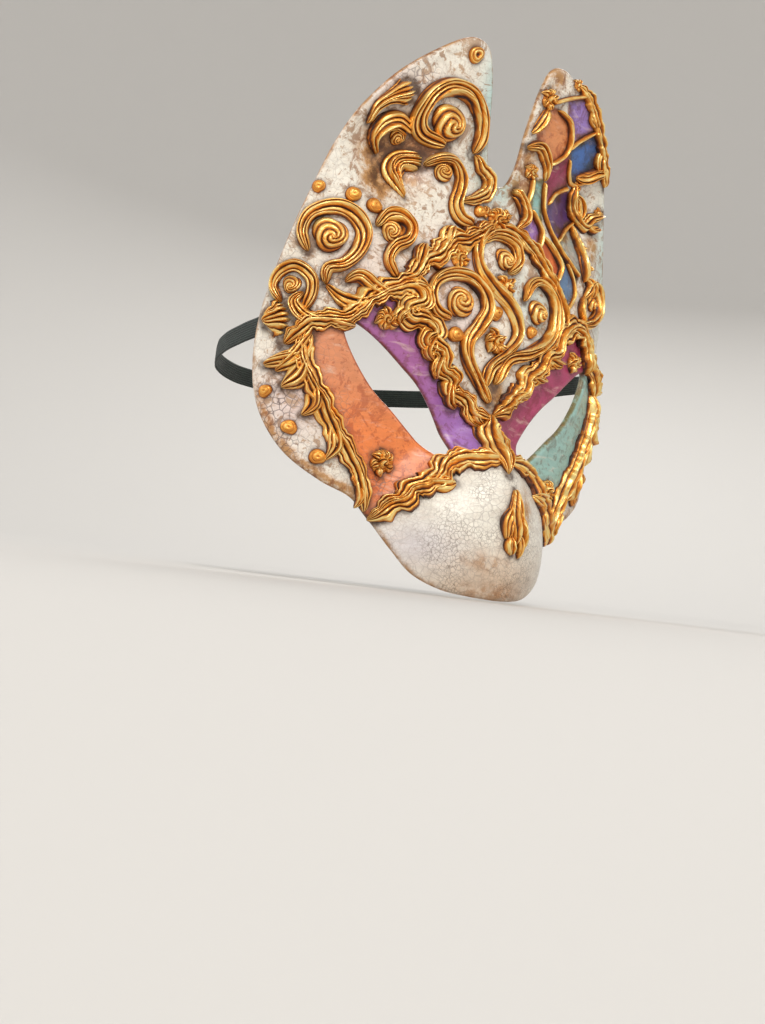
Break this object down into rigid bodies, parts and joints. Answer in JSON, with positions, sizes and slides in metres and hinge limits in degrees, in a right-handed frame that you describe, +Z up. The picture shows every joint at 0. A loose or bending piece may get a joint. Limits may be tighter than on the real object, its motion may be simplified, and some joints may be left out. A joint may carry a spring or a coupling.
{
  "type": "venetian cat mask",
  "caption": "Papier-mache cat face mask with two tall ears, a short muzzle, raised gilded scrollwork and an elastic head strap.",
  "frame": {"origin": "where the inside of the mask rests on the bridge of the wearer's nose, on the centre line between the eyes", "axes": "+Z up towards the ears; +Y into the wearer's face, so the mask looks along -Y; +X to the wearer's left"},
  "size_m": [0.1812, 0.1729, 0.2242],
  "materials": {
    "painted_paper_mache": "painted, crackled and waxed",
    "gilded_paste": "gilded, with dark wax in the grooves",
    "elastic": "woven, matt",
    "glued_paper": "matt"
  },
  "bodies": {
    "root": {"shell": "painted_paper_mache", "strap_patch_right": "glued_paper", "strap_patch_left": "glued_paper", "ear_tip_bead_right": "gilded_paste", "ear_plume_right": "gilded_paste", "ear_hook_leaf_right": "gilded_paste", "ear_lower_leaf_right": "gilded_paste", "ear_scroll_right": "gilded_paste", "ear_small_scroll_right": "gilded_paste", "ear_base_leaf_right": "gilded_paste", "ear_base_bead_right": "gilded_paste", "temple_beads_right": "gilded_paste", "temple_spiral_right": "gilded_paste", "brow_scroll_right": "gilded_paste", "edge_spiral_right": "gilded_paste", "temple_curl_right": "gilded_paste", "scallop_right": "gilded_paste", "cheek_beads_right": "gilded_paste", "cheek_leaf_right": "gilded_paste", "brow_rosette_right": "gilded_paste", "cheek_rosette_right": "gilded_paste", "brow_rope_right": "gilded_paste", "forehead_rope_right": "gilded_paste", "cheek_rope_right": "gilded_paste", "muzzle_rope_right": "gilded_paste", "forehead_knot": "gilded_paste", "forehead_loop": "gilded_paste", "forehead_s_scroll": "gilded_paste", "forehead_hook": "gilded_paste", "forehead_spiral": "gilded_paste", "forehead_flowers": "gilded_paste", "forehead_beads": "gilded_paste", "bridge_leaf": "gilded_paste", "nose_leaf": "gilded_paste", "brow_rope_left": "gilded_paste", "forehead_rope_left": "gilded_paste", "cheek_rope_left": "gilded_paste", "muzzle_rope_left": "gilded_paste", "brow_rosette_left": "gilded_paste", "cheek_rosette_left": "gilded_paste", "cheek_leaf_left": "gilded_paste", "cheek_beads_left": "gilded_paste", "scallop_left": "gilded_paste", "ear_rosette_left": "gilded_paste", "ear_leaf_left": "gilded_paste", "ear_scroll_left": "gilded_paste", "ear_small_rosette_left": "gilded_paste", "ear_base_hook_left": "gilded_paste", "ear_lattice_left": "gilded_paste", "ear_edge_rope_left": "gilded_paste", "ear_edge_scroll_left": "gilded_paste", "temple_knot_left": "gilded_paste", "temple_loop_left": "gilded_paste"},
    "strap": {"elastic_strap": "elastic"}
  },
  "joints": [
    {"name": "strap_swing", "type": "hinge", "parent": "root", "child": "strap", "pos_m": [0, 0.036, 0.027], "axis": [1, 0, 0], "range_deg": [-35, 50]}
  ]
}
